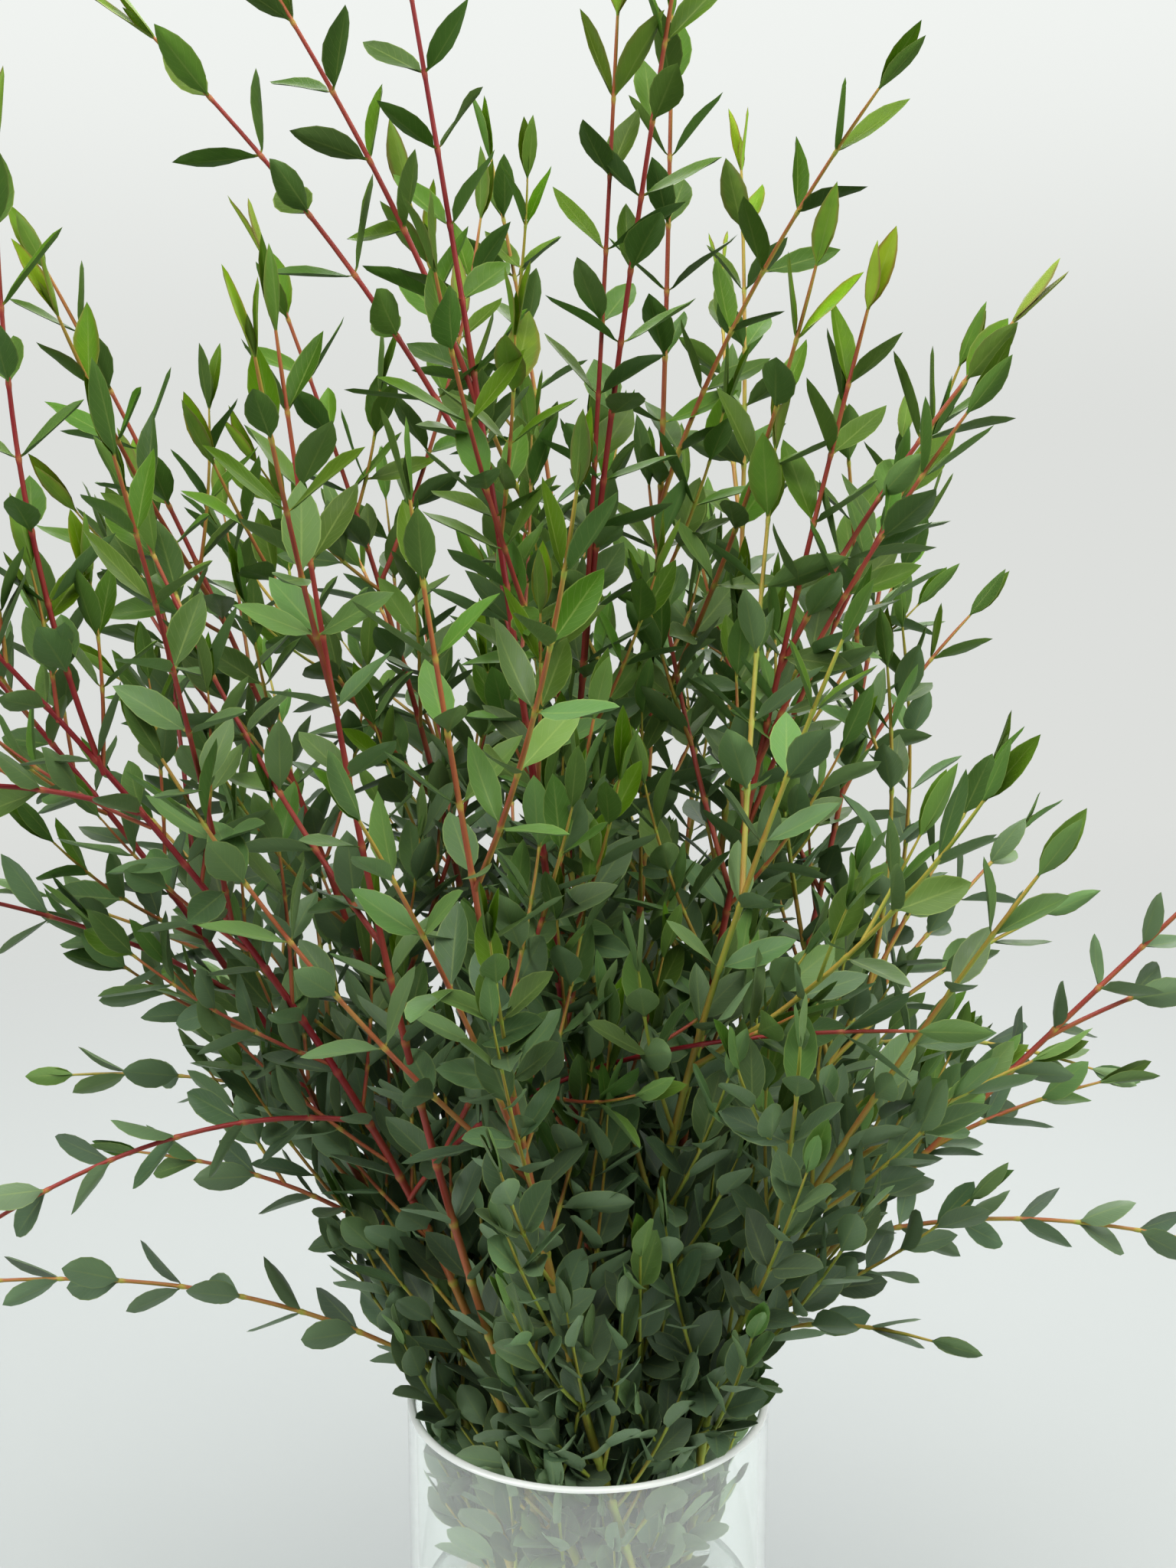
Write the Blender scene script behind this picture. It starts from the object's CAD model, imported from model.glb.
import math
import random

import bmesh
import bpy
import numpy as np
from mathutils import Matrix, Vector
from mathutils.kdtree import KDTree


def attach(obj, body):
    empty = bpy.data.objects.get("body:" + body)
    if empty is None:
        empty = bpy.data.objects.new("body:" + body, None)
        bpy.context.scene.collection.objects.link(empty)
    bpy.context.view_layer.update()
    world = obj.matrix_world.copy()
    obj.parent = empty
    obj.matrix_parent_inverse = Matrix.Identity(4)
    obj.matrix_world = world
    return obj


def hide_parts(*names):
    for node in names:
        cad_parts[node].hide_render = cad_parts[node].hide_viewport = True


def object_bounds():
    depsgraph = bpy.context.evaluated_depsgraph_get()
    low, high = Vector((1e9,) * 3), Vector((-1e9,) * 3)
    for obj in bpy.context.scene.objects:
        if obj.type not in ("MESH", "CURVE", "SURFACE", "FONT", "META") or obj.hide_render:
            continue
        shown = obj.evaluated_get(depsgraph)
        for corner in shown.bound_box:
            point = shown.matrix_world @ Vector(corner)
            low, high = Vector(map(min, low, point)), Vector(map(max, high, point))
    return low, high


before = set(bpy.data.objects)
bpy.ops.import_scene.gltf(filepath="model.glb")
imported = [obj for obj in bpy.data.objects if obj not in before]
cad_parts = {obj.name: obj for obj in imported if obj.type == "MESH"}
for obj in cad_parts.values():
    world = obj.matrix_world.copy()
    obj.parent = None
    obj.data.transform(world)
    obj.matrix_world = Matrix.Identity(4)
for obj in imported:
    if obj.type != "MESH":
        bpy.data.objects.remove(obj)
cad_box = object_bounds()
bpy.ops.object.select_all(action="DESELECT")


# Camera. The photograph was taken from a little above the lower sprigs, looking slightly down on
# the bunch, near enough for the vase to run out of the picture.
CAMERA_PLACE = (0, -0.709, 0.585)
CAMERA_PITCH = math.radians(10.25)
CAMERA_LENS = 42.19

bpy.ops.object.camera_add(location=CAMERA_PLACE, rotation=(math.pi / 2 - CAMERA_PITCH, 0, 0))
camera = bpy.context.object
camera.name = "camera"
camera.data.lens = CAMERA_LENS
camera.data.sensor_width = 36
camera.data.clip_start = 0.02
camera.data.clip_end = 60
bpy.context.scene.camera = camera
bpy.context.scene.view_settings.view_transform = "Standard"


# Studio. A plain pale table runs off into a pale wall with no edge between them, and large soft
# lamps hang above and to the sides, so the bunch throws only a soft shadow on the table.
FLOOR_RADIUS = 8.0
FLOOR_SIDES = 96
FLOOR_COLOUR = "#9fa4a5"
FLOOR_FADE = (0.25, 2.4)
WALL_COLOURS = ("#dddfdc", "#f1f4f1")
WALL_RISE = (0.0, 0.24)
WALL_STRENGTH = 1.0
WALL_LIGHT = 0.23

# Each lamp's place, what it points at, its side in metres, its power in watts and its colour.
LAMPS = {
    "lamp_above": ((0.0, -0.6, 2.7), (0.0, 0.0, 0.4), 3.2, 160, "#fffdf6"),
    "lamp_left": ((-2.1, -1.2, 1.7), (0.0, 0.0, 0.45), 1.4, 38, "#fbfdff"),
    "lamp_right": ((2.2, -0.9, 1.5), (0.0, 0.0, 0.45), 1.4, 42, "#ffffff"),
    "lamp_behind": ((0.3, 2.2, 2.0), (0.0, 0.0, 0.45), 1.8, 40, "#ffffff"),
}


def linear(code):
    """An sRGB hex colour as linear red, green, blue and alpha."""
    shares = [int(code[i:i + 2], 16) / 255 for i in (1, 3, 5)]
    return [s / 12.92 if s <= 0.04045 else ((s + 0.055) / 1.055) ** 2.4 for s in shares] + [1.0]


def add(tree, kind, inputs=(), stops=(), **settings):
    """Adds a shader node with its settings, its inputs and a ramp's colour stops. The inputs come in
    order or by name, each a value, the output that feeds it, or a node whose first open one does."""
    node = tree.nodes.new("ShaderNode" + kind)
    for name, value in settings.items():
        setattr(node, name, value)
    pairs = inputs.items() if isinstance(inputs, dict) else enumerate(inputs)
    for name, value in pairs:
        if isinstance(value, bpy.types.Node):
            value = next(output for output in value.outputs if output.enabled)
        if isinstance(value, bpy.types.NodeSocket):
            tree.links.new(value, node.inputs[name])
        else:
            node.inputs[name].default_value = value
    for number, (place, colour) in enumerate(stops):
        elements = node.color_ramp.elements
        element = elements[number] if number < len(elements) else elements.new(place)
        element.position = place
        element.color = linear(colour)
    return node


def new_finish(name):
    """A new node material, with its shader and its node tree."""
    made = bpy.data.materials.new(name)
    made.use_nodes = True
    return made, made.node_tree.nodes["Principled BSDF"], made.node_tree


def table_finish():
    """Matt white laminate. It thins out far from the vase, where the wall's light takes over."""
    made, shader, tree = new_finish("matt white laminate")
    shader.inputs["Base Color"].default_value = linear(FLOOR_COLOUR)
    shader.inputs["Roughness"].default_value = 0.7
    place = add(tree, "TexCoord").outputs["Object"]
    away = add(tree, "VectorMath", (place,), operation="LENGTH")
    fade = add(tree, "MapRange", (away, *FLOOR_FADE), interpolation_type="SMOOTHSTEP")
    clear = add(tree, "BsdfTransparent")
    mixed = add(tree, "MixShader", (fade, shader, clear))
    tree.links.new(mixed.outputs["Shader"], tree.nodes["Material Output"].inputs["Surface"])
    return made


bpy.ops.mesh.primitive_circle_add(vertices=FLOOR_SIDES, radius=FLOOR_RADIUS, fill_type="NGON")
table = bpy.context.object
table.name = "table"
table.data.materials.append(table_finish())

# The wall shows at full strength to the camera, also through the glass, and lights the bunch less.
world = bpy.data.worlds.new("pale wall")
world.use_nodes = True
wall = world.node_tree.nodes["Background"]
place = add(world.node_tree, "TexCoord").outputs["Generated"]
height = add(world.node_tree, "SeparateXYZ", (place,)).outputs["Z"]
height = add(world.node_tree, "MapRange", (height, *WALL_RISE), interpolation_type="SMOOTHSTEP")
low, high = (linear(colour) for colour in WALL_COLOURS)
paint = add(world.node_tree, "Mix", {0: height, 6: low, 7: high}, data_type="RGBA")
world.node_tree.links.new(paint.outputs[2], wall.inputs["Color"])
rays = add(world.node_tree, "LightPath").outputs
seen = add(world.node_tree, "Math", (rays["Is Camera Ray"], rays["Transmission Depth"]),
           operation="MAXIMUM", use_clamp=True)
strength = add(world.node_tree, "MapRange", (seen, 0, 1, WALL_LIGHT, WALL_STRENGTH))
world.node_tree.links.new(strength.outputs["Result"], wall.inputs["Strength"])
bpy.context.scene.world = world

for name, (place, target, size, power, colour) in LAMPS.items():
    bpy.ops.object.light_add(type="AREA", location=place)
    lamp = bpy.context.object
    lamp.name = name
    lamp.data.size = size
    lamp.data.energy = power
    lamp.data.color = linear(colour)[:3]
    lamp.rotation_euler = (Vector(target) - Vector(place)).to_track_quat("-Z", "Y").to_euler()


# Vase. A straight cylinder of clear soda glass, blown in a mould and cut level, with its rim fire
# polished to a round lip and a thick floor.
MM = 0.001
VASE_RADIUS = 75 * MM
VASE_HEIGHT = 200 * MM
VASE_WALL = 3.5 * MM
VASE_FLOOR = 10 * MM
VASE_CORNER = 3 * MM
VASE_LIP = VASE_WALL / 2.2
VASE_SIDES = 128
GLASS_COLOUR = "#fbfdfc"
GLASS_CLEAR = 0.93
LAMP_TINT = "#f4f8f6"
LIP_COLOUR = "#f3f7f5"
LIP_CLEAR = 0.3
LIP_DEPTH = 3.0 * MM


def pick(mesh_object, keep, kind="verts"):
    """In edit mode, selects only the vertices, edges or faces that a test keeps."""
    bpy.ops.mesh.select_mode(type={"verts": "VERT", "edges": "EDGE", "faces": "FACE"}[kind])
    bpy.ops.mesh.select_all(action="DESELECT")
    bm = bmesh.from_edit_mesh(mesh_object.data)
    for item in getattr(bm, kind):
        if keep(item):
            item.select = True
    bm.select_flush_mode()
    bmesh.update_edit_mesh(mesh_object.data)


def ring_at(radius, height):
    """A test for the edges of a ring round Z, of a radius and at a height."""
    def is_on_ring(edge):
        return all(abs(math.hypot(v.co.x, v.co.y) - radius) < MM / 4 and abs(v.co.z - height) < MM / 4
                   for v in edge.verts)
    return is_on_ring


def smoothed(piece, angle):
    """Shades a piece smooth, with its large faces' normals kept straight beside narrow bevels."""
    bpy.ops.object.shade_smooth_by_angle(angle=math.radians(angle))
    bpy.ops.object.modifier_add(type="WEIGHTED_NORMAL")
    piece.modifiers[-1].keep_sharp = True
    bpy.ops.object.modifier_apply(modifier=piece.modifiers[-1].name)


def let_lamps_through(tree, shader):
    """Mixes a clear shader in for the lamps' rays alone, which bend little on their way through."""
    lamp_ray = add(tree, "LightPath").outputs["Is Shadow Ray"]
    clear = add(tree, "BsdfTransparent", (linear(LAMP_TINT),))
    mixed = add(tree, "MixShader", (lamp_ray, shader, clear))
    tree.links.new(mixed.outputs["Shader"], tree.nodes["Material Output"].inputs["Surface"])


def glass_finish():
    """Soda glass: clear, smooth and hardly green, so it shows by its lip and by how it bends the view."""
    made, shader, tree = new_finish("clear soda glass")
    shader.inputs["Base Color"].default_value = linear(GLASS_COLOUR)
    shader.inputs["Roughness"].default_value = 0.02
    shader.inputs["IOR"].default_value = 1.52
    shader.inputs["Transmission Weight"].default_value = GLASS_CLEAR
    let_lamps_through(tree, shader)
    return made


def lip_finish():
    """The rounded lip: the same glass, with the fine bubbles and the haze that the flame leaves."""
    made, shader, tree = new_finish("fire polished lip")
    shader.inputs["Base Color"].default_value = linear(LIP_COLOUR)
    shader.inputs["Roughness"].default_value = 0.2
    shader.inputs["IOR"].default_value = 1.52
    shader.inputs["Transmission Weight"].default_value = LIP_CLEAR
    return made


def glass_vase():
    """The cylinder, hollowed from its top down to the floor, with its four rings of edges rounded."""
    bpy.ops.mesh.primitive_cylinder_add(vertices=VASE_SIDES, radius=VASE_RADIUS, depth=VASE_HEIGHT,
                                        location=(0, 0, VASE_HEIGHT / 2))
    vase = bpy.context.object
    vase.name = "glass_vase"
    bpy.ops.object.transform_apply()
    inner = VASE_RADIUS - VASE_WALL
    bpy.ops.object.mode_set(mode="EDIT")
    pick(vase, lambda face: face.normal.z > 0.9, "faces")
    bpy.ops.mesh.inset(thickness=VASE_WALL, use_even_offset=True)
    bpy.ops.mesh.extrude_region_move(TRANSFORM_OT_translate={"value": (0, 0, VASE_FLOOR - VASE_HEIGHT)})
    for radius, height, round_by, steps in ((VASE_RADIUS, VASE_HEIGHT, VASE_LIP, 5),
                                            (inner, VASE_HEIGHT, VASE_LIP, 5),
                                            (VASE_RADIUS, 0, VASE_CORNER, 4),
                                            (inner, VASE_FLOOR, VASE_CORNER, 4)):
        pick(vase, ring_at(radius, height), "edges")
        bpy.ops.mesh.bevel(offset=round_by, segments=steps, profile=0.5)
    bpy.ops.mesh.select_all(action="SELECT")
    bpy.ops.mesh.normals_make_consistent(inside=False)
    bpy.ops.object.mode_set(mode="OBJECT")
    smoothed(vase, 40)
    return vase


vase = glass_vase()
vase.data.materials.append(glass_finish())
vase.data.materials.append(lip_finish())
for face in vase.data.polygons:
    if face.center.z > VASE_HEIGHT - LIP_DEPTH:
        face.material_index = 1
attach(vase, "root")
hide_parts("vase")


# Water. Tap water, poured in until the vase was about half full. It wets the glass, so its surface
# turns up a little at the wall, in two rings that share out the rise and its width.
WATER_TOP = 108 * MM
WATER_GRIP = 0.15 * MM
MENISCUS = 1.6 * MM
MENISCUS_RINGS = ((0.35, 0.62), (0.65, 0.38))
WATER_COLOUR = "#fafdfc"


def water_finish():
    """Clean still water: clear, smooth, a little less refracting than the glass."""
    made, shader, tree = new_finish("still water")
    shader.inputs["Base Color"].default_value = linear(WATER_COLOUR)
    shader.inputs["Roughness"].default_value = 0.0
    shader.inputs["IOR"].default_value = 1.333
    shader.inputs["Transmission Weight"].default_value = 1.0
    let_lamps_through(tree, shader)
    return made


def poured_water():
    """The water, sunk a little into the glass so that no air shows between, with its turned-up edge."""
    side = VASE_RADIUS - VASE_WALL + WATER_GRIP
    bottom = VASE_FLOOR - WATER_GRIP
    bpy.ops.mesh.primitive_cylinder_add(vertices=VASE_SIDES, radius=side, depth=WATER_TOP - bottom,
                                        location=(0, 0, (WATER_TOP + bottom) / 2))
    body = bpy.context.object
    body.name = "poured_water"
    bpy.ops.object.transform_apply()
    bpy.ops.object.mode_set(mode="EDIT")
    pick(body, ring_at(side, bottom), "edges")
    bpy.ops.mesh.bevel(offset=VASE_CORNER, segments=4, profile=0.5)
    pick(body, lambda face: face.normal.z > 0.9, "faces")
    for share, drop in MENISCUS_RINGS:
        bpy.ops.mesh.inset(thickness=share * 2 * MENISCUS)
        bpy.ops.transform.translate(value=(0, 0, -drop * MENISCUS))
    bpy.ops.object.mode_set(mode="OBJECT")
    smoothed(body, 50)
    return body


water = poured_water()
water.data.materials.append(water_finish())
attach(water, "root")
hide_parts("water")


# Stems. Cut gum stems stand crossed in the vase as a spiral and bow out above its rim. Each carries
# side sprigs: some reach as far as the bunch does, and shorter ones fill its inside.
UP = Vector((0, 0, 1))
CLEARANCE = 0.4 * MM
FOOT_TURN = math.radians(90)
FOOT_SHARE = 0.8
RIM_PASS = VASE_HEIGHT + 4 * MM
STEM_STEPS = 5
FOOT_RADIUS = 2.3 * MM
RIM_RADIUS = 1.8 * MM
TIP_RADIUS = 0.7 * MM
SPRIG_ANGLE = math.radians(40)
SPRIG_LENGTHS = (250 * MM, 120 * MM)
SPRIG_SHARES = (0.2, 0.8)
SPRIG_STEPS = 2
SPRIG_RADII = (1.1 * MM, 0.65 * MM)
SPRIG_SCATTER = (0.85, 1.15)
FIRST_SIDE = Vector((1, 0.2, 0.1))
FREE_BOW = 0.5
FREE_SWEEP = (0.6, 0.3, 0.25)
PLACED_BOW = 0.45
PLACED_START = (0.4, 0.6)
GOLDEN_ANGLE = math.radians(137.5)
TRY_TURN = math.radians(31)
TRY_LENGTH = 0.985
TRIES = 24
STEM_GAP = 5 * MM
RIM_GAP = 12 * MM
FRONT_LIMIT = -200 * MM
REACH_LIMIT = 335 * MM

# Place at the rim, tip, how far the stem keeps its first direction, number of free sprigs, and the
# sprigs with a place of their own as (share of the stem, tip), in mm.
STEMS = {
    "stem_01": ((-33, -29), (-268, -100, 592), 0.42, 1,
                ((0.30, (-262, -88, 278)), (0.22, (112, -112, 392)), (0.62, (-262, -104, 470)),
                 (0.66, (-196, -74, 684)))),
    "stem_02": ((-54, -12), (-290, 0, 570), 0.36, 1,
                ((0.02, (-292, -6, 246)), (0.42, (-272, -56, 432)), (0.16, (-186, 12, 300)))),
    "stem_03": ((-50, 12), (-212, 34, 655), 0.45, 3, ()),
    "stem_04": ((-30, 30), (-134, 80, 664), 0.42, 3, ()),
    "stem_05": ((6, -24), (-68, -54, 786), 0.45, 1,
                ((0.62, (-146, -56, 722)), (0.68, (-112, -64, 748)))),
    "stem_06": ((-10, 0), (30, -60, 746), 0.42, 1, ((0.50, (10, -52, 730)),)),
    "stem_07": ((6, 18), (32, 30, 748), 0.42, 1, ((0.66, (105, -12, 714)),)),
    "stem_08": ((24, -6), (98, -46, 634), 0.45, 1,
                ((0.70, (150, -42, 630)), (0.54, (127, -18, 590)), (0.62, (130, -66, 598)))),
    "stem_09": ((20, -36), (84, -104, 524), 0.40, 3, ()),
    "stem_10": ((44, 2), (172, 62, 454), 0.35, 1, ((0.50, (192, 40, 394)), (0.62, (120, 24, 500)))),
    "stem_11": ((62, 18), (304, 40, 452), 0.10, 0,
                ((0.20, (304, 10, 246)), (0.36, (214, 24, 326)), (0.04, (142, -4, 224)),
                 (0.55, (322, 24, 392)))),
    "stem_12": ((42, 38), (140, 125, 590), 0.42, 1, ((0.60, (168, 100, 514)), (0.68, (106, 72, 606)))),
    "stem_13": ((20, 42), (66, 116, 704), 0.42, 3, ()),
    "stem_14": ((-8, 44), (-42, 124, 710), 0.42, 2, ()),
    "stem_15": ((-50, 38), (-218, 124, 436), 0.30, 1, ((0.30, (-236, 96, 304)), (0.52, (-236, 72, 394)))),
    "stem_16": ((-22, -52), (-102, -92, 624), 0.40, 3, ()),
    "stem_17": ((4, -60), (-56, -124, 570), 0.36, 2, ((0.35, (-70, -158, 474)),)),
    "stem_18": ((8, 64), (62, 250, 548), 0.36, 3, ()),
    "stem_19": ((-24, 60), (-124, 228, 548), 0.36, 2, ((0.18, (-190, 150, 333)),)),
    "stem_20": ((32, 56), (212, 170, 404), 0.28, 0, ((0.48, (235, 110, 302)), (0.60, (142, 120, 507)))),
    "stem_21": ((46, -40), (150, -112, 446), 0.32, 0,
                ((0.46, (158, -84, 372)), (0.30, (70, -128, 392)))),
}

# How far each stem has turned from yellow-green (0) over orange-brown to crimson (1).
RIPENESS = {
    "stem_01": 1.0, "stem_02": 0.92, "stem_03": 0.7, "stem_04": 0.65, "stem_05": 0.9, "stem_06": 0.85,
    "stem_07": 0.5, "stem_08": 0.72, "stem_09": 0.12, "stem_10": 0.3, "stem_11": 0.62, "stem_12": 0.6,
    "stem_13": 0.25, "stem_14": 0.4, "stem_15": 0.35, "stem_16": 0.8, "stem_17": 0.55, "stem_18": 0.3,
    "stem_19": 0.4, "stem_20": 0.3, "stem_21": 0.2,
}


def bezier(a, b, c, steps):
    """Points along the curve from a to c that bends towards b."""
    shares = [i / steps for i in range(steps + 1)]
    return [a * (1 - s) ** 2 + b * 2 * s * (1 - s) + c * s * s for s in shares]


def length_of(path):
    return sum((b - a).length for a, b in zip(path, path[1:]))


def along(path, reach):
    """The point and the direction at a distance along a path."""
    for a, b in zip(path, path[1:]):
        step = (b - a).length
        if reach <= step or b is path[-1]:
            return a.lerp(b, reach / step), (b - a) / step
        reach -= step


def square_to(way, guide):
    """The unit vector nearest to guide that is square to way."""
    return (guide - way * guide.dot(way)).normalized()


def stem_bends(mouth, tip, bow):
    """The cut foot, the place at the rim, the point that the bow bends to, and the tip."""
    mouth = Vector((mouth[0] * MM, mouth[1] * MM, RIM_PASS))
    tip = Vector(tip) * MM
    foot = Matrix.Rotation(FOOT_TURN, 3, "Z") @ mouth * FOOT_SHARE
    foot.z = VASE_FLOOR
    way = (mouth - foot).normalized()
    foot.z += CLEARANCE + FOOT_RADIUS * math.hypot(way.x, way.y)
    return foot, mouth, mouth + way * bow * (tip - mouth).length, tip


def placed_sprig(path, share, tip):
    """A sprig that leaves the stem at a share of its length above the rim for a given tip."""
    start, way = along(path[1:], share * length_of(path[1:]))
    reach = Vector(tip) * MM - start
    heading = (way * PLACED_START[0] + reach.normalized() * PLACED_START[1]).normalized()
    return start, start + heading * reach.length * PLACED_BOW, start + reach


def side_shoot(line, share, turn, length, angle=SPRIG_ANGLE):
    """A shoot at a turn round a line that sweeps up from its own angle."""
    start, way = along(line, share * length_of(line))
    side = Matrix.Rotation(turn, 3, way) @ square_to(way, FIRST_SIDE)
    heading = way * math.cos(angle) + side * math.sin(angle)
    ending = heading * FREE_SWEEP[0] + way * FREE_SWEEP[1] + UP * FREE_SWEEP[2]
    bend = start + heading * length * FREE_BOW
    return start, bend, bend + ending.normalized() * length * (1 - FREE_BOW)


def samples(path):
    """Points along a path as an array, for measuring distances."""
    total = length_of(path)
    count = max(2, int(total / STEM_GAP))
    return np.array([along(path, total * i / count)[0] for i in range(count + 1)])


def nearest(points, others):
    """The least distance between two arrays of points."""
    spread = points[:, None, :] - others[None, :, :]
    return float(np.sqrt((spread ** 2).sum(axis=2).min()))


def keeps_clear(points, name, lines):
    """Whether a sprig's points stay off the other stems, the rim, the front and the far reach."""
    out = np.hypot(points[:, 0], points[:, 1])
    low = points[:, 2] < VASE_HEIGHT + RIM_GAP
    if points[:, 1].min() < FRONT_LIMIT or out.max() > REACH_LIMIT:
        return False
    if (out[low] > VASE_RADIUS - RIM_GAP).any():
        return False
    return all(nearest(points, line) > STEM_GAP for other, line in lines if other != name)


def grow_stems():
    """Every stem and its sprigs as bends: first the placed sprigs, then the free ones."""
    stems = {}
    lines = []
    for name, (mouth, tip, bow, count, sprigs) in STEMS.items():
        foot, *bends = stem_bends(mouth, tip, bow)
        path = [foot] + bezier(*bends, STEM_STEPS)
        stems[name] = {"foot": foot, "bends": bends, "path": path}
        stems[name]["sprigs"] = [placed_sprig(path, *sprig) for sprig in sprigs]
        paths = [path] + [bezier(*sprig, SPRIG_STEPS) for sprig in stems[name]["sprigs"]]
        lines += [(name, samples(line)) for line in paths]
    for index, (name, (mouth, tip, bow, count, sprigs)) in enumerate(STEMS.items()):
        draw = random.Random(index)
        turn = draw.uniform(0, math.tau)
        for k in range(count):
            share = SPRIG_SHARES[0] + (SPRIG_SHARES[1] - SPRIG_SHARES[0]) * (k + 0.5) / count
            length = SPRIG_LENGTHS[0] + (SPRIG_LENGTHS[1] - SPRIG_LENGTHS[0]) * share
            length *= draw.uniform(*SPRIG_SCATTER)
            for attempt in range(TRIES):
                sprig = side_shoot(stems[name]["path"][1:], share, turn, length * TRY_LENGTH ** attempt)
                points = samples(bezier(*sprig, SPRIG_STEPS))
                if keeps_clear(points, name, lines):
                    stems[name]["sprigs"].append(sprig)
                    lines.append((name, points))
                    break
                turn += TRY_TURN
            turn += GOLDEN_ANGLE
    return stems


# The short inner sprigs: one every so often along each stem, from inside the vase up, and a few on
# each long sprig. Their steps and angles go by height, and how far up a stem they go by how far left
# its tip leans.
FILL_LOW = 112 * MM
FILL_STEPS = (10 * MM, 17 * MM, 28 * MM, 70 * MM)
FILL_STEP_HEIGHTS = (200 * MM, 260 * MM, 400 * MM, 600 * MM)
FILL_END_TIPS = (-120 * MM, -70 * MM, -30 * MM, 20 * MM)
FILL_ENDS = (0.84, 0.94, 0.94, 0.72)
FILL_LENGTHS = (50 * MM, 88 * MM, 98 * MM, 48 * MM)
FILL_LENGTH_SHARES = (0, 0.15, 0.5, 0.95)
FILL_ANGLES = (math.radians(26), math.radians(44))
FILL_IN_VASE = 1.4
FILL_UNDER_RIM = 15 * MM
FILL_RIM_HEIGHTS = (0.20, 0.34)
FILL_RIM_ANGLES = (0.6, 1.0)
FILL_TO_GLASS = 50 * MM
FILL_SIDES_AT = (-50 * MM, 20 * MM)
FILL_SIDES = (0.6, 1.5)
FILL_SIDES_FROM = 440 * MM

# How wide the bunch's inside is at some heights, to its left and right, in metres.
FILL_HEIGHTS = (0.206, 0.24, 0.30, 0.42, 0.50, 0.60, 0.74)
FILL_LEFT = (0.066, 0.115, 0.180, 0.200, 0.245, 0.235, 0.120)
FILL_RIGHT = (0.066, 0.115, 0.175, 0.150, 0.120, 0.105, 0.080)

FILL_FRONT_GAP = 10 * MM
FILL_GAP = 3.0 * MM
FILL_OWN = 3
FILL_BENDS = 6
FILL_SCATTER = (0.8, 1.2)
FILL_TRY_LENGTH = 0.96
FILL_TRIES = 9
FILL_SEED = 500
SIDE_STEP = 40 * MM
SIDE_LENGTHS = (62 * MM, 38 * MM)
SIDE_SHARES = (0.22, 0.78)
SIDE_SCATTER = (0.2, 0.8)
SIDE_TOP = 500 * MM

# Before the bunch's left side a gap stays open. It begins here, and its back slopes to the front.
OPEN_FROM = (-33 * MM, -29 * MM)
OPEN_SLOPE = 0.30


def fits_inside(points, tree):
    """Whether an inner sprig stays in the bunch and the vase's mouth, off the other stems, and out of
    the front left gap. Its first points are left out, as they touch its own shoot."""
    for point in points:
        out = math.hypot(point[0], point[1])
        widths = FILL_RIGHT if point[0] > 0 and abs(point[1]) < point[0] else FILL_LEFT
        if out > np.interp(point[2], FILL_HEIGHTS, widths) or point[1] < FRONT_LIMIT + FILL_FRONT_GAP:
            return False
        if point[0] < OPEN_FROM[0] and point[1] < OPEN_FROM[1] + OPEN_SLOPE * (point[0] - OPEN_FROM[0]):
            return False
    return all(tree.find(point)[2] > FILL_GAP for point in points[FILL_OWN:])


def fill_places(stem, draw):
    """Where the inner sprigs of a stem leave it, as (line, share of it, length)."""
    line = stem["path"]
    total = length_of(line)
    reach = (FILL_LOW - line[0].z) / (line[1].z - line[0].z) * (line[1] - line[0]).length
    places = []
    while reach < np.interp(line[-1].x, FILL_END_TIPS, FILL_ENDS) * total:
        point = along(line, reach)[0]
        share = reach / total
        length = np.interp(share, FILL_LENGTH_SHARES, FILL_LENGTHS) * draw.uniform(*FILL_SCATTER)
        places.append((line, share, length))
        step = np.interp(point.z, FILL_STEP_HEIGHTS, FILL_STEPS) * draw.uniform(*FILL_SCATTER)
        if point.z > FILL_SIDES_FROM:
            step *= np.interp(point.x, FILL_SIDES_AT, FILL_SIDES)
        reach += step
    low, high = SIDE_SHARES
    for sprig in stem["sprigs"]:
        line = bezier(*sprig, FILL_BENDS)
        count = int(length_of(line) * (high - low) / SIDE_STEP)
        for k in range(count):
            share = low + (high - low) * (k + draw.uniform(*SIDE_SCATTER)) / count
            length = np.interp(share, SIDE_SHARES, SIDE_LENGTHS) * draw.uniform(*FILL_SCATTER)
            if line[FILL_BENDS // 2].z < SIDE_TOP:
                places.append((line, share, length))
    return places


def point_tree(points):
    """Points in a tree that finds the nearest of them to a place."""
    tree = KDTree(len(points))
    for number, point in enumerate(points):
        tree.insert(point, number)
    tree.balance()
    return tree


def fill_stems(stems):
    """Adds the short inner sprigs, each turned on by the golden angle from the one below it."""
    points = []
    for stem in stems.values():
        for path in [stem["path"]] + [bezier(*sprig, FILL_BENDS) for sprig in stem["sprigs"]]:
            points += list(samples(path))
    for index, stem in enumerate(stems.values()):
        draw = random.Random(FILL_SEED + index)
        stem["fill"] = []
        turn = draw.uniform(0, math.tau)
        for line, share, length in fill_places(stem, draw):
            angle = draw.uniform(*FILL_ANGLES)
            height = along(line, share * length_of(line))[0].z
            if height < VASE_HEIGHT - FILL_UNDER_RIM:
                angle *= FILL_IN_VASE
            else:
                angle *= np.interp(height, FILL_RIM_HEIGHTS, FILL_RIM_ANGLES)
            tree = point_tree(points)
            for attempt in range(FILL_TRIES):
                sprig = side_shoot(line, share, turn, length * FILL_TRY_LENGTH ** attempt, angle)
                spots = samples(bezier(*sprig, FILL_BENDS))
                far = spots[0][2] > VASE_HEIGHT or math.hypot(spots[-1][0], spots[-1][1]) > FILL_TO_GLASS
                if far and fits_inside(spots, tree):
                    stem["fill"].append(sprig)
                    points += list(spots)
                    break
                turn += TRY_TURN
            turn += GOLDEN_ANGLE


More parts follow.
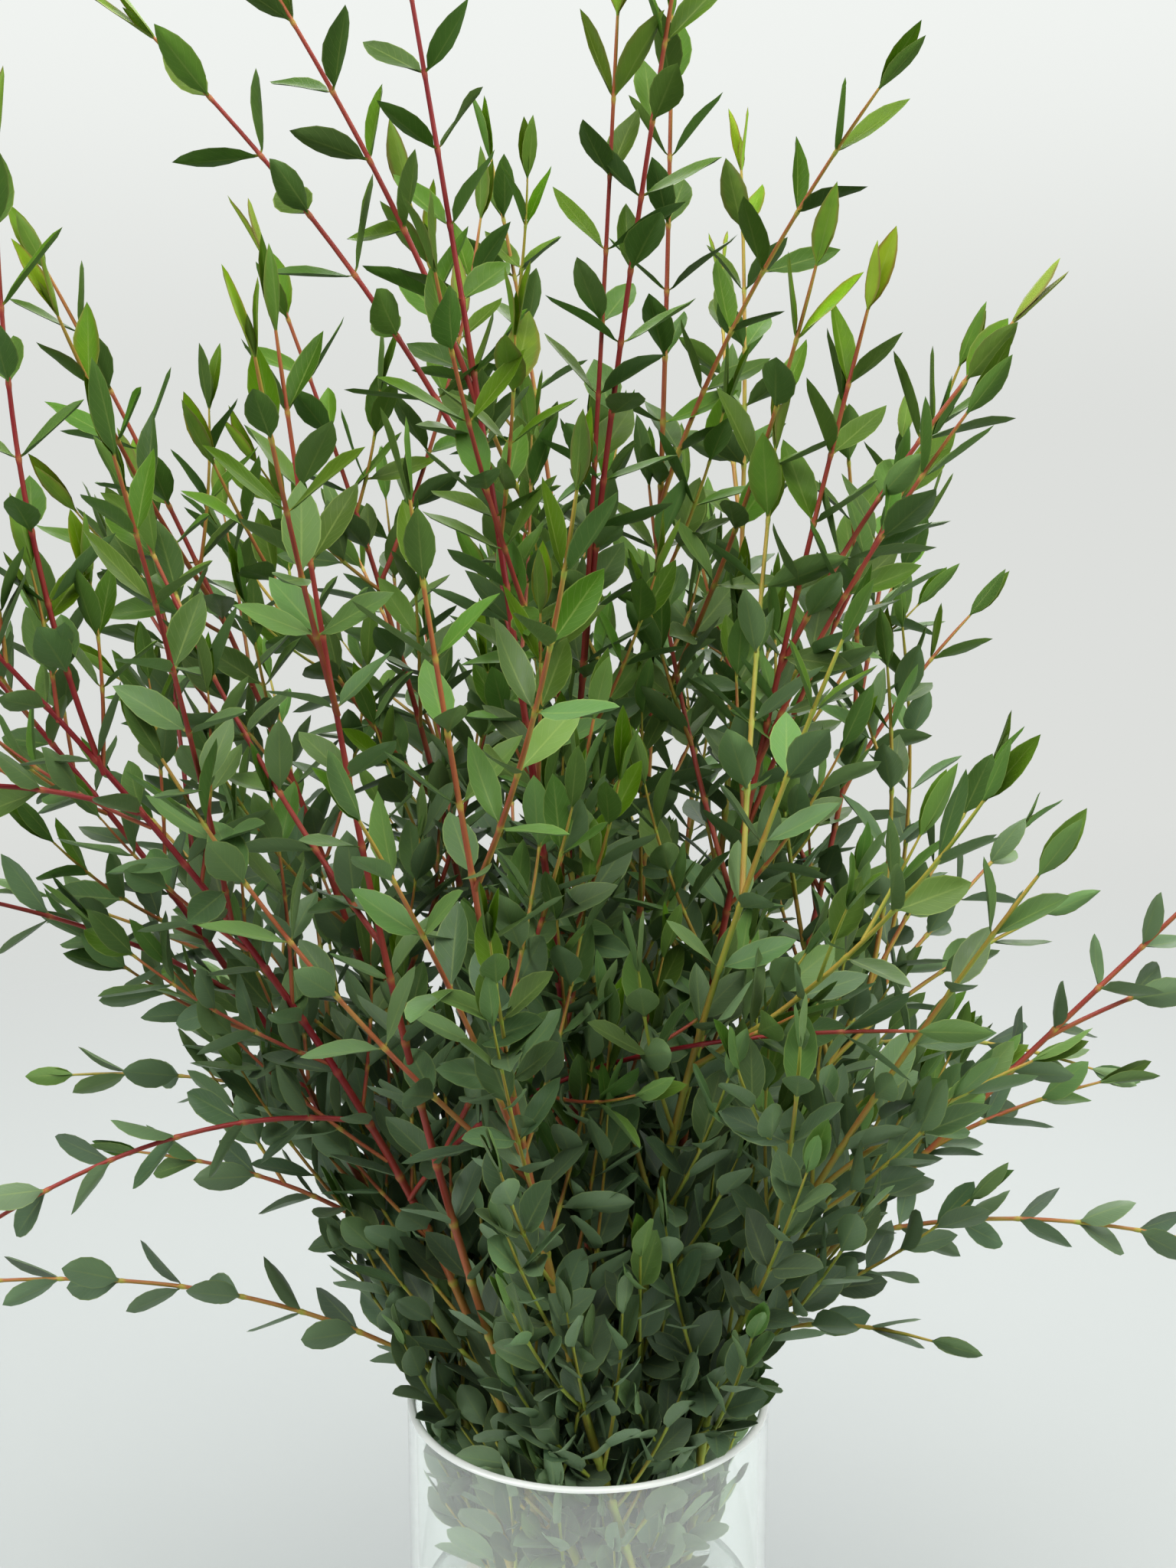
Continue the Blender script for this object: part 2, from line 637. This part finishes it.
stems = grow_stems()
fill_stems(stems)


# Twigs. The bark is smooth and thin: crimson to orange-brown on the side that had the sun,
# yellow-green on the other and at each node, woody and dull where it was cut.
TWIG_SIDES = 8
AXIS_STEPS = 40
SPRIG_STEP = 9 * MM
SPRIG_LEAST_STEPS = 8
INNER_STEPS = 9
INNER_RADII = (0.85 * MM, 0.45 * MM)
NODE_SWELL = 1.28
NODE_HALF = 2.2 * MM
NODE_ROOM = 1.6 * NODE_HALF
TIP_THIN = 0.8
TIP_SINK = 1.5 * MM
LEAF_SPACING = 25 * MM
INNER_SPACING = 18 * MM
BARE_LENGTHS = {"axis": 60 * MM, "sprig": 20 * MM, "inner": 14 * MM}
RIPE_HEIGHTS = (0.20, 0.36)
RIPE_SHARES = (0.12, 1.0)
SHADED_SHARES = {"axis": 1.0, "sprig": 0.9, "inner": 0.6}
YOUNG_LENGTH = 60 * MM
YOUNG_SHARE = 0.45
NODE_SHARE = 0.3
WOOD_HEIGHTS = (0.06, 0.17)
SUN_SIDE = (-0.5, -0.25, 0.75)
SUN_SHARE = 0.2
BARK_PATCH = 22.22 * MM
BARK_GRAIN = 1.111 * MM
TWIG_COLOURS = ((0.0, "#8a9a3a"), (0.28, "#a38b3c"), (0.5, "#9b5b35"), (0.72, "#8d382d"), (1.0, "#7c1a21"))
WOOD_COLOUR = "#7a6c4c"


def shoots_of(stem):
    """Every shoot of a stem: its smooth path, its radii, its leaf spacing and its kind."""
    foot, bends = stem["foot"], stem["bends"]
    shoots = [([foot, foot.lerp(bends[0], 0.5)] + bezier(*bends, AXIS_STEPS),
               (FOOT_RADIUS, RIM_RADIUS, TIP_RADIUS), LEAF_SPACING, "axis")]
    for sprig in stem["sprigs"]:
        steps = max(SPRIG_LEAST_STEPS, int(length_of(sprig) / SPRIG_STEP))
        shoots.append((bezier(*sprig, steps), SPRIG_RADII, LEAF_SPACING, "sprig"))
    for sprig in stem["fill"]:
        shoots.append((bezier(*sprig, INNER_STEPS), INNER_RADII, INNER_SPACING, "inner"))
    return shoots


def node_marks(path, spacing, bare):
    """Distances along a path, from its start, of the nodes that leaves grow at: the tip first."""
    total = length_of(path)
    return [total - TIP_SINK - k * spacing for k in range(int((total - bare) / spacing) + 1)]


def twig_rings(path, radii, marks):
    """A twig's rings as (place, radius, reach, swell): its path, a little swollen at each node."""
    total = length_of(path)
    rim = (path[2] - path[0]).length
    thick = ((0, rim, total), radii) if len(radii) == 3 else ((0, total), radii)
    reaches = [(0.0, 1.0)]
    done = 0.0
    for a, b in zip(path, path[1:]):
        done += (b - a).length
        reaches.append((min(done, total), 1.0))
    reaches = [(r, s) for r, s in reaches if all(abs(r - mark) > NODE_ROOM for mark in marks)]
    for mark in marks:
        if 2 * NODE_HALF < mark < total - 2 * NODE_HALF:
            reaches += [(mark - NODE_HALF, 1.0), (mark, NODE_SWELL), (mark + NODE_HALF, 1.0)]
    if reaches[-1][0] < total:
        reaches.append((total, TIP_THIN))
    reaches.sort()
    return [(along(path, r)[0], float(np.interp(r, *thick)) * s, r, s) for r, s in reaches]


def twig_object(name, twigs, ripeness):
    """One mesh of round twigs along their rings, with how ripe and how woody the bark is."""
    curve = bpy.data.curves.new(name, "CURVE")
    curve.dimensions = "3D"
    curve.bevel_depth = 1.0
    curve.bevel_resolution = TWIG_SIDES // 2 - 2
    curve.use_fill_caps = True
    ripe, wood = [], []
    for rings, kind in twigs:
        ripe.append([])
        wood.append([])
        spline = curve.splines.new("POLY")
        spline.points.add(len(rings) - 1)
        for point, (place, radius, reach, swell) in zip(spline.points, rings):
            point.co = (*place, 1)
            point.radius = radius
            young = 1 - min(1, (rings[-1][2] - reach) / YOUNG_LENGTH)
            at_node = (swell - 1) / (NODE_SWELL - 1) if swell > 1 else 0
            low = float(np.interp(place.z, RIPE_HEIGHTS, RIPE_SHARES))
            red = ripeness * low * SHADED_SHARES[kind] * (1 - YOUNG_SHARE * young)
            ripe[-1].append(red - NODE_SHARE * at_node)
            wood[-1].append(float(np.interp(place.z, WOOD_HEIGHTS, (1, 0))) if kind == "axis" else 0.0)
    guide = bpy.data.objects.new(name, curve)
    bpy.context.scene.collection.objects.link(guide)
    bpy.ops.object.select_all(action="DESELECT")
    guide.select_set(True)
    bpy.context.view_layer.objects.active = guide
    bpy.ops.object.convert(target="MESH")
    twig = bpy.context.object
    bpy.ops.object.shade_smooth_by_angle(angle=math.radians(60))
    # The converted mesh holds the end caps first, from the last twig back, then every twig's rings.
    for label, values in (("ripeness", ripe), ("wood", wood)):
        caps = [value for ring in reversed(values) for value in (ring[-1], ring[0])]
        whole = np.clip(caps + [value for ring in values for value in ring], 0, 1)
        whole = np.repeat(whole, TWIG_SIDES).astype(np.float32)
        layer = twig.data.attributes.new(label, "FLOAT", "POINT")
        layer.data.foreach_set("value", whole)
    return twig


def twig_finish():
    """Smooth young bark: satin, redder in patches and where the sun was, with a fine grain."""
    made, shader, tree = new_finish("smooth young bark")
    ripe = add(tree, "Attribute", attribute_name="ripeness").outputs["Fac"]
    wood = add(tree, "Attribute", attribute_name="wood").outputs["Fac"]
    place = add(tree, "TexCoord").outputs["Object"]
    normal = add(tree, "NewGeometry").outputs["Normal"]
    sunny = add(tree, "VectorMath", (normal, SUN_SIDE), operation="DOT_PRODUCT")
    sunny = add(tree, "Math", (sunny, SUN_SHARE), operation="MULTIPLY")
    patch = add(tree, "TexNoise", {"Vector": place, "Scale": 1 / BARK_PATCH, "Detail": 2.0})
    patch = add(tree, "MapRange", (patch, 0.3, 0.7, -0.12, 0.12))
    ripe = add(tree, "Math", (ripe, patch), operation="ADD")
    ripe = add(tree, "Math", (ripe, sunny), operation="ADD")
    red = add(tree, "ValToRGB", (ripe,), TWIG_COLOURS)
    bark = add(tree, "Mix", {0: wood, 6: red, 7: linear(WOOD_COLOUR)}, data_type="RGBA")
    tree.links.new(bark.outputs[2], shader.inputs["Base Color"])
    shader.inputs["Roughness"].default_value = 0.45
    shader.inputs["Specular IOR Level"].default_value = 0.3
    grain = add(tree, "TexNoise", {"Vector": place, "Scale": 1 / BARK_GRAIN, "Detail": 3.0})
    bump = add(tree, "Bump", {"Height": grain, "Strength": 0.15, "Distance": 0.3 * MM})
    tree.links.new(bump.outputs["Normal"], shader.inputs["Normal"])
    return made


bark = twig_finish()
for name, stem in stems.items():
    stem["twigs"] = []
    stem["shoots"] = shoots_of(stem)
    for path, radii, spacing, kind in stem["shoots"]:
        marks = node_marks(path, spacing, BARE_LENGTHS[kind])
        stem["twigs"].append((twig_rings(path, radii, marks), kind))
    twig = twig_object(name.replace("stem", "twigs"), stem["twigs"], RIPENESS[name])
    twig.data.materials.append(bark)
    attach(twig, "root")
    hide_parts(name)


# Leaves. Small, thick and leathery, in opposite pairs that turn a quarter at each node, with a
# closed pair at the tip. They are blunt and blue-grey with wax low down, longer and greener above.
LEAF_LENGTHS = (26 * MM, 32 * MM)
LEAF_WIDTHS = (12.6 * MM, 11.8 * MM)
LEAF_HEIGHTS = (240 * MM, 560 * MM)
LEAF_LEANS = (math.radians(5), math.radians(30), math.radians(46))
LEAF_OPENING = math.radians(4)
LEAF_SIZES = (0.8, 0.95, 1.0)
LEAF_ROWS = 7
LEAF_COLUMNS = 4
LEAF_PLACES = (0.0, 0.09, 0.22, 0.38, 0.56, 0.74, 0.89, 1.0)
LONG_WIDTHS = (0.09, 0.12, 0.64, 0.95, 0.99, 0.76, 0.38, 0.0)
ROUND_WIDTHS = (0.11, 0.14, 0.68, 0.95, 1.0, 0.87, 0.53, 0.0)
ROW_NEAR = 0.02
LEAF_BODY = 0.018
LEAF_RIB = 0.006


def leaf_form():
    """One leaf, one long and one wide, from a grid: rows narrowed, rib sunk, underside closed."""
    bpy.ops.object.select_all(action="DESELECT")
    bpy.ops.mesh.primitive_grid_add(x_subdivisions=LEAF_ROWS, y_subdivisions=LEAF_COLUMNS, size=1,
                                    calc_uvs=True, location=(0.5, 0, 0))
    leaf = bpy.context.object
    bpy.ops.object.transform_apply()
    bpy.ops.object.mode_set(mode="EDIT")
    for row, (place, width) in enumerate(zip(LEAF_PLACES, LONG_WIDTHS)):
        now = row / LEAF_ROWS
        pick(leaf, lambda v: abs(v.co.x - now) < ROW_NEAR)
        bpy.ops.transform.resize(value=(1, width, 1))
        bpy.ops.transform.translate(value=(place - now, 0, 0))
    pick(leaf, lambda v: abs(v.co.y) < 0.0001 and 0.1 < v.co.x < 0.99)
    bpy.ops.transform.translate(value=(0, 0, -LEAF_RIB))
    bpy.ops.mesh.select_all(action="SELECT")
    bpy.ops.mesh.duplicate()
    bpy.ops.mesh.flip_normals()
    bm = bmesh.from_edit_mesh(leaf.data)
    border = {v for e in bm.edges if e.select and len(e.link_faces) == 1 for v in e.verts}
    inner = {v for f in bm.faces if f.select for v in f.verts} - border
    pick(leaf, lambda v: v in inner)
    bpy.ops.transform.translate(value=(0, 0, -LEAF_BODY))
    bpy.ops.mesh.select_all(action="SELECT")
    bpy.ops.mesh.remove_doubles(threshold=0.0005)
    bpy.ops.object.mode_set(mode="OBJECT")
    return leaf


def measured(leaf):
    """A leaf form's points, how far across the blade each lies, its faces, UVs and underside."""
    mesh = leaf.data
    points = np.array([v.co for v in mesh.vertices])
    faces = [tuple(p.vertices) for p in mesh.polygons]
    uvs = np.array([loop.uv for loop in mesh.uv_layers[0].data])
    across = np.zeros(len(points))
    for loop, uv in zip(mesh.loops, uvs):
        across[loop.vertex_index] = 2 * uv[1] - 1
    across[points[:, 0] > 0.999] = 0
    under = np.array([p.normal.z < 0 for p in mesh.polygons], float)
    bpy.data.objects.remove(leaf)
    return points, across, faces, uvs, under


long_points, leaf_across, leaf_faces, leaf_uvs, leaf_under = measured(leaf_form())

# The blunter leaf is the same form with its rows widened.
round_points = long_points.copy()
for place, long_width, round_width in zip(LEAF_PLACES, LONG_WIDTHS, ROUND_WIDTHS):
    row = np.abs(long_points[:, 0] - place) < ROW_NEAR
    round_points[row, 1] *= round_width / max(long_width, 0.01)


# How each leaf stands: its lean off the twig, its roll and its own bend, and how green it is. Near
# the rim leaves stand closer to their twigs. Some shoots carry a flush of young leaves.
GUIDE_RISE = 0.3
LEAN_SCATTER = 0.16
TIP_LEAVES = ((1, 0, LEAF_LEANS[0] + 0.03, 0.92, 0.72), (-1, 0, LEAF_LEANS[0] + 0.07, 0.86, 0.70),
              (1, 1, 0.06, 0.5, 0.55))
LEAF_BARE_LENGTHS = {**BARE_LENGTHS, "axis": 90 * MM}
LEAF_SEED = 2000
FLUSH_SHARE = 0.35
FLUSH_GREEN = 0.14
GREEN_HEIGHTS = (0.18, 0.34, 0.62, 0.80)
GREENS = (0.02, 0.22, 0.62, 0.74)
TIP_GREENS = (0.22, 0.11, 0.06, 0)
GREEN_SCATTER = 0.08
INNER_SIZE = 0.96
UPRIGHT_HEIGHTS = (0.20, 0.40)
UPRIGHT_LEANS = (0.5, 1.0)
SIZE_SCATTER = (0.9, 1.1)
WIDTH_SCATTER = (0.88, 1.1)
LEAF_ROLL = 0.32
BLUNT_FALL = 1.3
BLUNT_SCATTER = 0.25

# A leaf's arch, twist, fold along the rib, and where its edge's waves begin.
BEND_RANGES = ((-0.10, 0.10), (-0.5, 0.5), (0.08, 0.34), (0, 6.3))
EDGE_WAVE = 0.012
EDGE_TURN = 7

# A leaf tries these leans and rolls for room from other leaves, shoots and the glass. Its room is
# measured on its flat blade, at shares of its length and width, so once bent it may touch.
LEAF_TRIES = ((0, 0), (0.2, 0.3), (-0.2, -0.3), (0.38, -0.5), (-0.1, 0.6), (0.5, 0.2), (0.25, 0.9),
              (-0.3, -0.9))
BLADE_SPOTS = ((0.95, 0), (0.6, 0), (0.55, 0.42), (0.55, -0.42))
CELL = 6 * MM
NEAR_CELLS = [(x, y, z) for x in (-1, 0, 1) for y in (-1, 0, 1) for z in (-1, 0, 1)]
TWIG_HALF = 1.2 * MM
ABOVE_RIM = 2 * MM
LEAF_TO_GLASS = 3 * MM
LEAF_CLEAR = 2.6 * MM
LEAF_ROOM = 0.6 * MM
TIP_ROOM = -1 * MM
LEAF_REACH = 18 * MM
REACH_STEP = 0.9


def node_leaves(k, draw):
    """The leaves at the k-th node from a tip, as (hand, quarter turn, lean, size, slimness)."""
    if k == 0:
        return TIP_LEAVES
    size = LEAF_SIZES[min(k, 2)]
    lean = LEAF_LEANS[min(k, 2)] + LEAF_OPENING * max(0, min(k, 6) - 2)
    return [(hand, 0, lean + draw.uniform(-LEAN_SCATTER, LEAN_SCATTER), size, 1.0) for hand in (1, -1)]


def new_leaf(root, rise, kind, size, slim, draw):
    """A leaf at a node, with its own size, bend and tint, and how far it rolls."""
    size *= (INNER_SIZE if kind == "inner" else 1.0) * draw.uniform(*SIZE_SCATTER)
    length = size * (LEAF_LENGTHS[0] + (LEAF_LENGTHS[1] - LEAF_LENGTHS[0]) * rise)
    width = size * slim * (LEAF_WIDTHS[0] + (LEAF_WIDTHS[1] - LEAF_WIDTHS[0]) * rise)
    width *= draw.uniform(*WIDTH_SCATTER)
    roll = draw.uniform(-LEAF_ROLL, LEAF_ROLL)
    bend = [draw.uniform(*limits) for limits in BEND_RANGES]
    return {"root": root, "length": length, "width": width, "bend": bend, "tint": draw.random()}, roll


def cell_of(point):
    """The small cube of space that a point lies in."""
    return tuple(int(math.floor(c / CELL)) for c in point)


def clear_of(points, owner, twigs, taken):
    """How far a blade's points keep from other shoots, earlier leaves and the glass, in metres."""
    twig_tree, owners = twigs
    least = 1.0
    for point in points:
        for spot, number, distance in twig_tree.find_range(point, CELL):
            if owners[number] != owner:
                least = min(least, distance - TWIG_HALF)
        cell = cell_of(point)
        for key in NEAR_CELLS:
            for other in taken.get((cell[0] + key[0], cell[1] + key[1], cell[2] + key[2]), ()):
                least = min(least, (other - point).length)
        if point.z < VASE_HEIGHT + ABOVE_RIM:
            wall = abs(math.hypot(point.x, point.y) - (VASE_RADIUS - VASE_WALL / 2))
            least = min(least, wall - LEAF_TO_GLASS)
    return least


def within_reach(point):
    """Whether a point lies within the reach that leaves are allowed."""
    low, high = cad_box
    return all(a - LEAF_REACH < c < b + LEAF_REACH for a, c, b in zip(low, point, high))


def leaf_frame(way, side, lean, roll):
    """The blade's own directions: ahead, across and up out of its face."""
    ahead = way * math.cos(lean) + side * math.sin(lean)
    face = way * math.sin(lean) - side * math.cos(lean)
    turned = Matrix.Rotation(roll, 3, ahead)
    return ahead, turned @ face.cross(ahead), turned @ face


def settled(leaf, way, toward, lean, roll, tries, owner, twigs, taken):
    """Turns a leaf to the first try that is clear, or the clearest, and gives its room and points."""
    best = None
    for tilt, turn in tries:
        ahead, across, face = leaf_frame(way, toward, lean + tilt, roll + turn)
        blade = [leaf["root"] + ahead * leaf["length"] * reach + across * leaf["width"] * off
                 for reach, off in BLADE_SPOTS]
        room = clear_of(blade, owner, twigs, taken)
        if best is None or room > best[0]:
            best = (room, blade)
            leaf.update(ahead=ahead, across=across, face=face)
        if room > LEAF_CLEAR:
            break
    return best


def place_leaves(stems):
    """Every leaf of every shoot, turned to where it has room, or left out if it has none."""
    spots = [(point, (name, number)) for name, stem in stems.items()
             for number, shoot in enumerate(stem["shoots"]) for point in samples(shoot[0])]
    twigs = point_tree([point for point, owner in spots]), [owner for point, owner in spots]
    taken = {}
    for index, (name, stem) in enumerate(stems.items()):
        draw = random.Random(LEAF_SEED + index)
        stem["leaves"] = []
        for number, (path, radii, spacing, kind) in enumerate(stem["shoots"]):
            spin = index + number * GOLDEN_ANGLE
            guide = Vector((math.cos(spin), math.sin(spin), GUIDE_RISE))
            flush = FLUSH_GREEN if draw.random() < FLUSH_SHARE else 0.0
            for k, mark in enumerate(node_marks(path, spacing, LEAF_BARE_LENGTHS[kind])):
                root, way = along(path, mark)
                side = square_to(way, guide)
                if k % 2:
                    side = way.cross(side)
                green = float(np.interp(root.z, GREEN_HEIGHTS, GREENS))
                young = TIP_GREENS[min(k, 3)] + (flush if k < 2 else 0)
                green += young + draw.uniform(-GREEN_SCATTER, GREEN_SCATTER)
                rise = float(np.interp(root.z, LEAF_HEIGHTS, (0, 1)))
                upright = float(np.interp(root.z, UPRIGHT_HEIGHTS, UPRIGHT_LEANS))
                for hand, quarter, lean, size, slim in node_leaves(k, draw):
                    leaf, roll = new_leaf(root, rise, kind, size, slim, draw)
                    lean *= upright
                    toward = (way.cross(side) if quarter else side) * hand
                    ahead = way * math.cos(lean) + toward * math.sin(lean)
                    while not within_reach(root + ahead * leaf["length"]):
                        leaf["length"] *= REACH_STEP
                    tries = LEAF_TRIES if k else LEAF_TRIES[:1]
                    room, blade = settled(leaf, way, toward, lean, roll, tries, (name, number), twigs, taken)
                    if room < (LEAF_ROOM if k > 1 else TIP_ROOM) or not within_reach(blade[0]):
                        continue
                    for point in blade:
                        taken.setdefault(cell_of(point), []).append(point)
                    blunt = 1 - rise * BLUNT_FALL + draw.uniform(-BLUNT_SCATTER, BLUNT_SCATTER)
                    leaf.update(blunt=float(np.clip(blunt, 0, 1)), green=min(max(green, 0), 1))
                    stem["leaves"].append(leaf)


def leaf_mesh(name, leaves):
    """One mesh of a stem's leaves, each copied from the two forms with its own arch, twist and fold."""
    count, size = len(leaves), len(long_points)
    root, ahead, across, face, length, width, blunt, bend = (
        np.array([leaf[key] for leaf in leaves])[:, None]
        for key in ("root", "ahead", "across", "face", "length", "width", "blunt", "bend"))
    arch, twist, fold, wave = (bend[..., i] for i in range(4))
    form = long_points[None] * (1 - blunt[..., None]) + round_points[None] * blunt[..., None]
    x = form[..., 0]
    y = form[..., 1] * width
    z = form[..., 2] * length - arch * length * x * x + fold * np.abs(y)
    z += EDGE_WAVE * length * np.sin(x * EDGE_TURN + wave) * np.abs(leaf_across)[None]
    turn = twist * x
    flat = y * np.cos(turn) - z * np.sin(turn)
    high = y * np.sin(turn) + z * np.cos(turn)
    points = root + ahead * (x * length)[..., None]
    points += across * flat[..., None] + face * high[..., None]
    faces = [tuple(v + n * size for v in f) for n in range(count) for f in leaf_faces]
    mesh = bpy.data.meshes.new(name)
    mesh.from_pydata(points.reshape(-1, 3).tolist(), [], faces)
    layer = mesh.uv_layers.new(name="leaf")
    layer.data.foreach_set("uv", np.tile(leaf_uvs, (count, 1)).astype(np.float32).ravel())
    for label, key in (("greenness", "green"), ("leaf_tint", "tint")):
        values = np.repeat([leaf[key] for leaf in leaves], size).astype(np.float32)
        mesh.attributes.new(label, "FLOAT", "POINT").data.foreach_set("value", values)
    under = np.tile(leaf_under, count).astype(np.float32)
    mesh.attributes.new("underside", "FLOAT", "FACE").data.foreach_set("value", under)
    piece = bpy.data.objects.new(name, mesh)
    bpy.context.scene.collection.objects.link(piece)
    bpy.ops.object.select_all(action="DESELECT")
    piece.select_set(True)
    bpy.context.view_layer.objects.active = piece
    bpy.ops.object.shade_smooth_by_angle(angle=math.radians(70))
    return piece


# The leaf's colours run with its greenness, from waxy and grown (0) to the youngest (1).
LEAF_COLOURS = ((0.0, "#576a52"), (0.22, "#51694a"), (0.45, "#506e34"), (0.62, "#43650c"),
                (0.75, "#375601"), (0.9, "#55790a"), (1.0, "#809d1c"))
UNDERSIDE_COLOUR = "#7c986d"
RIB_COLOUR = "#93a257"
STALK_COLOUR = "#8f8a3c"
EDGE_COLOUR = "#7a4a28"
MOTTLE = 6.25 * MM
VEINS = 11.0
VEIN_SLANT = 2.4
LEAF_HUES = (0.485, 0.515)
LEAF_VALUES = (0.6, 1.3)
LEAF_ROUGHNESSES = (0.40, 0.54)
LEAF_SHINES = (0.3, 0.12)


def leaf_finish():
    """Leathery gum leaf: matt, blue-grey with wax when old, yellow-green when young, paler below."""
    made, shader, tree = new_finish("leathery gum leaf")
    green = add(tree, "Attribute", attribute_name="greenness").outputs["Fac"]
    tint = add(tree, "Attribute", attribute_name="leaf_tint").outputs["Fac"]
    under = add(tree, "Attribute", attribute_name="underside").outputs["Fac"]
    place = add(tree, "TexCoord").outputs["Object"]
    uv = add(tree, "UVMap", uv_map="leaf")
    split = add(tree, "SeparateXYZ", (uv,)).outputs
    reach, side = split["X"], split["Y"]
    off_rib = add(tree, "Math", (side, 0.5), operation="SUBTRACT")
    off_rib = add(tree, "Math", (off_rib,), operation="ABSOLUTE")
    off_rib = add(tree, "Math", (off_rib, 2.0), operation="MULTIPLY")

    # The blade's green, a little mottled, with its edge bronzed while it is young.
    mottle = add(tree, "TexNoise", {"Vector": place, "Scale": 1 / MOTTLE, "Detail": 2.0})
    patch = add(tree, "MapRange", (mottle, 0.3, 0.7, -0.02, 0.02))
    patchy = add(tree, "Math", (green, patch), operation="ADD")
    colour = add(tree, "ValToRGB", (patchy,), LEAF_COLOURS)
    young = add(tree, "MapRange", (green, 0.82, 0.98))
    edge = add(tree, "MapRange", (off_rib, 0.6, 1.0, 0.0, 0.8), interpolation_type="SMOOTHSTEP")
    edge = add(tree, "Math", (young, edge), operation="MULTIPLY")
    colour = add(tree, "Mix", {0: edge, 6: colour, 7: linear(EDGE_COLOUR)}, data_type="RGBA")

    # Each leaf has a hue and a depth of its own, and a paler underside.
    hue = add(tree, "MapRange", (tint, 0, 1, *LEAF_HUES))
    shade = add(tree, "Math", (tint, 7.0), operation="MULTIPLY")
    shade = add(tree, "Math", (shade,), operation="FRACT")
    shade = add(tree, "MapRange", (shade, 0, 1, *LEAF_VALUES))
    colour = add(tree, "HueSaturation", {"Color": colour, "Hue": hue, "Value": shade})
    pale = add(tree, "MapRange", (green, 0.15, 0.7, 0.42, 0.14))
    pale = add(tree, "Math", (under, pale), operation="MULTIPLY")
    colour = add(tree, "Mix", {0: pale, 6: colour, 7: linear(UNDERSIDE_COLOUR)}, data_type="RGBA")

    # The midrib fades towards the tip. The rim of the blade has a thin pale line.
    rib = add(tree, "MapRange", (off_rib, 0.02, 0.09, 0.32, 0.0), interpolation_type="SMOOTHSTEP")
    fading = add(tree, "MapRange", (reach, 0.15, 0.95, 1.0, 0.15))
    rib = add(tree, "Math", (rib, fading), operation="MULTIPLY")
    colour = add(tree, "Mix", {0: rib, 6: colour, 7: linear(RIB_COLOUR)}, data_type="RGBA")
    rim = add(tree, "MapRange", (off_rib, 0.9, 0.98, 0.0, 0.3), interpolation_type="SMOOTHSTEP")
    opening = add(tree, "MapRange", (reach, 0.15, 0.3))
    rim = add(tree, "Math", (rim, opening), operation="MULTIPLY")
    colour = add(tree, "Mix", {0: rim, 6: colour, 7: linear(RIB_COLOUR)}, data_type="RGBA")

    # Faint side veins slant forward from the midrib. The stalk is yellowish.
    slant = add(tree, "Math", (reach, VEINS), operation="MULTIPLY")
    back = add(tree, "Math", (off_rib, VEIN_SLANT), operation="MULTIPLY")
    slant = add(tree, "Math", (slant, back), operation="SUBTRACT")
    vein = add(tree, "Math", (slant, math.tau), operation="MULTIPLY")
    vein = add(tree, "Math", (vein,), operation="SINE")
    vein = add(tree, "MapRange", (vein, 0.86, 1.0), interpolation_type="SMOOTHSTEP")
    faint = add(tree, "Math", (vein, 0.06), operation="MULTIPLY")
    colour = add(tree, "Mix", {0: faint, 6: colour, 7: linear(RIB_COLOUR)}, data_type="RGBA")
    stalk = add(tree, "MapRange", (reach, 0.07, 0.13, 1.0, 0.0), interpolation_type="SMOOTHSTEP")
    colour = add(tree, "Mix", {0: stalk, 6: colour, 7: linear(STALK_COLOUR)}, data_type="RGBA")
    tree.links.new(colour.outputs[2], shader.inputs["Base Color"])

    # The gloss is uneven over the blade, and the greener leaves shine less.
    rough = add(tree, "MapRange", (mottle, 0.3, 0.7, *LEAF_ROUGHNESSES))
    tree.links.new(rough.outputs["Result"], shader.inputs["Roughness"])
    shine = add(tree, "MapRange", (green, 0.2, 0.62, *LEAF_SHINES))
    tree.links.new(shine.outputs["Result"], shader.inputs["Specular IOR Level"])
    veined = add(tree, "Math", (vein, 0.35), operation="MULTIPLY")
    uneven = add(tree, "Math", (mottle, 0.6), operation="MULTIPLY")
    height = add(tree, "Math", (veined, uneven), operation="ADD")
    bump = add(tree, "Bump", {"Height": height, "Strength": 0.25, "Distance": 0.4 * MM})
    tree.links.new(bump.outputs["Normal"], shader.inputs["Normal"])
    return made


place_leaves(stems)
leaf_skin = leaf_finish()
for name, stem in stems.items():
    foliage = leaf_mesh(name.replace("stem", "leaves"), stem["leaves"])
    foliage.data.materials.append(leaf_skin)
    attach(foliage, "root")
    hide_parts(name)
